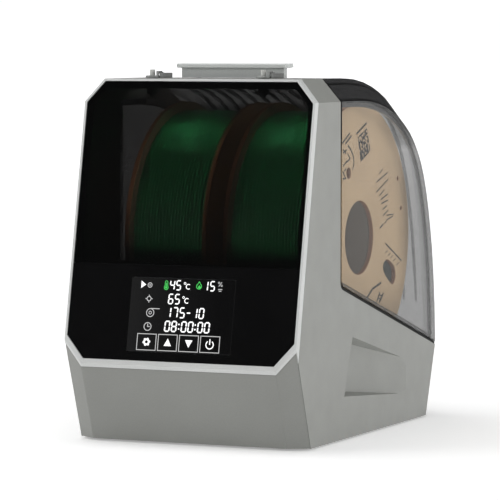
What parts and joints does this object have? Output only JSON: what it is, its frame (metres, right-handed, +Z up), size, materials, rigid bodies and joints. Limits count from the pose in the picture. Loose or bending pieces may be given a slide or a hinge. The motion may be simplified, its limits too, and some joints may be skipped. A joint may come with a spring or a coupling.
{
  "type": "filament dryer box",
  "caption": "Heated filament drying box with a sloping eight-sided front, touch display, smoked window, twin spools on rollers and a rear-hinged clear lid",
  "frame": {"origin": "centre of the box's footprint, on the surface it stands on", "axes": "+X to the right seen from the front, +Y to the rear, +Z up; the sloping face is at -Y"},
  "size_m": [0.182, 0.2982, 0.2725],
  "materials": {
    "case_grey": "satin",
    "bezel_pale": "satin",
    "smoked_window": "gloss",
    "panel_black": "gloss",
    "display": "gloss",
    "plated_steel": "satin",
    "pcb_green": "satin",
    "liner_black": "satin",
    "tub_black": "matte",
    "aluminium": "satin",
    "part_black": "satin",
    "brass": "satin",
    "base_dark": "matte",
    "rubber_black": "matte",
    "roller_black": "satin",
    "cardboard": "matte",
    "core_card": "matte",
    "filament_green": "satin",
    "tube_clear": "satin",
    "collar_grey": "satin",
    "cap_rubber": "matte",
    "lid_smoke": "gloss",
    "lid_clear": "gloss",
    "handle_grey": "satin"
  },
  "bodies": {
    "case": {"body_shell": "case_grey", "lower_front_cover": "case_grey", "front_bezel": "bezel_pale", "front_window": "smoked_window", "control_panel": "panel_black", "display_glass": "display", "display_module": "plated_steel", "roller_shaft_front": "plated_steel", "roller_shaft_rear": "plated_steel", "lid_hinge_pin_left": "plated_steel", "lid_hinge_pin_right": "plated_steel", "base_screw_front_left": "plated_steel", "base_screw_front_right": "plated_steel", "base_screw_rear_left": "plated_steel", "base_screw_rear_right": "plated_steel", "control_board": "pcb_green", "humidity_sensor": "pcb_green", "power_supply_board": "pcb_green", "arch_liner": "liner_black", "chamber_tub": "tub_black", "heater_grille": "aluminium", "ptc_heater": "aluminium", "fan_housing": "part_black", "mains_inlet": "part_black", "inlet_pin_left": "brass", "inlet_pin_right": "brass", "base_plate": "base_dark", "lid_gasket": "rubber_black", "foot_front_left": "rubber_black", "foot_front_right": "rubber_black", "foot_rear_left": "rubber_black", "foot_rear_right": "rubber_black", "outlet_collar_left": "collar_grey", "outlet_tube_left": "tube_clear", "outlet_collar_right": "collar_grey", "outlet_tube_right": "tube_clear"},
    "lid": {"lid_shell": "lid_smoke", "lid_side_window_left": "lid_clear", "lid_side_window_right": "lid_clear", "lid_handle": "handle_grey", "lid_handle_screw_left": "plated_steel", "lid_handle_screw_right": "plated_steel"},
    "spool_left": {"spool_left_flange_outer": "cardboard", "spool_left_flange_inner": "cardboard", "spool_left_core": "core_card", "spool_left_filament": "filament_green"},
    "cap_left": {"outlet_cap_left": "cap_rubber"},
    "roller_left_front_body": {"roller_left_front": "roller_black"},
    "roller_left_rear_body": {"roller_left_rear": "roller_black"},
    "spool_right": {"spool_right_flange_outer": "cardboard", "spool_right_flange_inner": "cardboard", "spool_right_core": "core_card", "spool_right_filament": "filament_green"},
    "cap_right": {"outlet_cap_right": "cap_rubber"},
    "roller_right_front_body": {"roller_right_front": "roller_black"},
    "roller_right_rear_body": {"roller_right_rear": "roller_black"},
    "fan_rotor": {"fan_impeller": "part_black"}
  },
  "joints": [
    {"name": "lid_hinge", "type": "hinge", "parent": "case", "child": "lid", "pos_m": [0, 0.14575, 0.0525], "axis": [-1, 0, 0], "range_deg": [0, 95]},
    {"name": "spool_left_spin", "type": "hinge", "parent": "case", "child": "spool_left", "pos_m": [-0.0395, 0.01445, 0.1429], "axis": [1, 0, 0], "continuous": true},
    {"name": "outlet_cap_left_flip", "type": "hinge", "parent": "case", "child": "cap_left", "pos_m": [-0.0386, -0.09665, 0.2664], "axis": [0, -1, 0], "range_deg": [0, 180]},
    {"name": "roller_left_front_spin", "type": "hinge", "parent": "case", "child": "roller_left_front_body", "pos_m": [-0.0395, -0.03675, 0.04665], "axis": [1, 0, 0], "continuous": true},
    {"name": "roller_left_rear_spin", "type": "hinge", "parent": "case", "child": "roller_left_rear_body", "pos_m": [-0.0395, 0.06565, 0.04665], "axis": [1, 0, 0], "continuous": true},
    {"name": "spool_right_spin", "type": "hinge", "parent": "case", "child": "spool_right", "pos_m": [0.0395, 0.01445, 0.1429], "axis": [1, 0, 0], "continuous": true},
    {"name": "outlet_cap_right_flip", "type": "hinge", "parent": "case", "child": "cap_right", "pos_m": [0.0494, -0.09665, 0.2664], "axis": [0, -1, 0], "range_deg": [0, 180]},
    {"name": "roller_right_front_spin", "type": "hinge", "parent": "case", "child": "roller_right_front_body", "pos_m": [0.0395, -0.03675, 0.04665], "axis": [1, 0, 0], "continuous": true},
    {"name": "roller_right_rear_spin", "type": "hinge", "parent": "case", "child": "roller_right_rear_body", "pos_m": [0.0395, 0.06565, 0.04665], "axis": [1, 0, 0], "continuous": true},
    {"name": "fan_spin", "type": "hinge", "parent": "case", "child": "fan_rotor", "pos_m": [-0.042, 0.01835, 0.0135], "axis": [0, 0, 1], "continuous": true}
  ],
  "couplings": [
    {"joint": "roller_left_front_spin", "follows": "spool_left_spin", "ratio": -11.111},
    {"joint": "roller_left_rear_spin", "follows": "spool_left_spin", "ratio": -11.111},
    {"joint": "roller_right_front_spin", "follows": "spool_right_spin", "ratio": -11.111},
    {"joint": "roller_right_rear_spin", "follows": "spool_right_spin", "ratio": -11.111}
  ]
}
